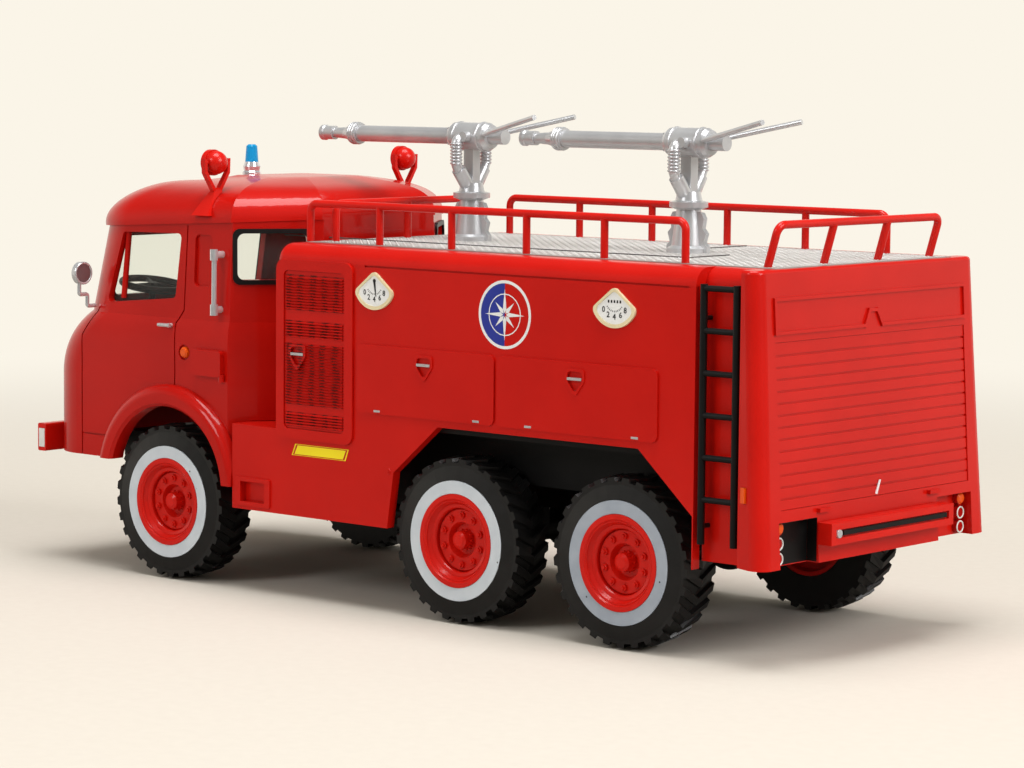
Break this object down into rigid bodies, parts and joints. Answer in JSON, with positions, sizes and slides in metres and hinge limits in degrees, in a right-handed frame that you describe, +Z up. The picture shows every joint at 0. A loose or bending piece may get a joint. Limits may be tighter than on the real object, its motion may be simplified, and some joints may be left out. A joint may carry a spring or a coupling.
{
  "type": "display model of a six-wheeled airport fire truck",
  "caption": "Small display model of a six-wheeled airport fire truck: hollow cab, tank body with roof rails, a ladder, fixed water cannons and free-rolling axles.",
  "frame": {"origin": "on the ground under the middle of the model's length and width", "axes": "+X forward towards the cab, +Y to the model's left, +Z up"},
  "size_m": [0.161, 0.061, 0.078],
  "materials": {
    "chrome": "vacuum plated plastic",
    "blue_lens": "clear blue moulding",
    "red_paint": "gloss red enamel on die-cast zinc",
    "white_plastic": "white painted",
    "clear": "clear moulding",
    "black_plastic": "moulded black plastic",
    "silver_paint": "silver painted plastic",
    "steel": "plain steel rod",
    "red_plastic": "moulded red plastic",
    "white_ring": "white printed ring",
    "rubber": "moulded soft black tyre",
    "cream_plastic": "cream printed rims",
    "amber_lens": "amber paint",
    "lamp_white": "printed lamp discs"
  },
  "bodies": {
    "root": {"beacon_base": "chrome", "beacon_lens": "blue_lens", "body_shell": "red_paint", "bumper_end_caps": "white_plastic", "cab_glazing": "clear", "cab_interior": "black_plastic", "cab_shell": "red_paint", "chassis": "black_plastic", "deck_plate": "silver_paint", "door_handles": "chrome", "drive_shafts": "black_plastic", "front_axle_housing": "black_plastic", "front_bumper": "red_plastic", "front_fenders": "red_paint", "front_grille": "black_plastic", "front_rail": "red_plastic", "gauge_bezels": "cream_plastic", "gauge_dials": "white_plastic", "grab_handles": "chrome", "grille_doors": "red_plastic", "headlamp_lenses": "clear", "headlamps": "chrome", "ladder": "black_plastic", "latch_bars": "silver_paint", "left_rail": "red_plastic", "marker_lamps": "amber_lens", "middle_axle_housing": "black_plastic", "mirror_left": "chrome", "mirror_right": "chrome", "monitor_front_barrel": "silver_paint", "monitor_front_stand": "silver_paint", "monitor_rear_barrel": "silver_paint", "monitor_rear_stand": "silver_paint", "rear_axle_housing": "black_plastic", "rear_lamps": "lamp_white", "rear_rail": "red_plastic", "rear_shutter": "red_paint", "rear_step_bar": "red_plastic", "right_rail": "red_plastic", "searchlight_left": "red_plastic", "searchlight_right": "red_plastic", "side_lockers": "red_plastic", "silencer": "black_plastic", "steering_wheel": "black_plastic", "window_seals": "black_plastic"},
    "front_wheels": {"front_tyres": "rubber", "front_rims": "red_plastic", "front_side_rings": "white_ring", "front_axle": "steel"},
    "middle_wheels": {"middle_tyres": "rubber", "middle_rims": "red_plastic", "middle_side_rings": "white_ring", "middle_axle": "steel"},
    "rear_wheels": {"rear_tyres": "rubber", "rear_rims": "red_plastic", "rear_side_rings": "white_ring", "rear_axle": "steel"}
  },
  "joints": [
    {"name": "front_axle_spin", "type": "hinge", "parent": "root", "child": "front_wheels", "pos_m": [0.0461, 0, 0.013], "axis": [0, 1, 0], "continuous": true},
    {"name": "middle_axle_spin", "type": "hinge", "parent": "root", "child": "middle_wheels", "pos_m": [-0.0183, 0, 0.013], "axis": [0, 1, 0], "continuous": true},
    {"name": "rear_axle_spin", "type": "hinge", "parent": "root", "child": "rear_wheels", "pos_m": [-0.0504, 0, 0.013], "axis": [0, 1, 0], "continuous": true}
  ]
}
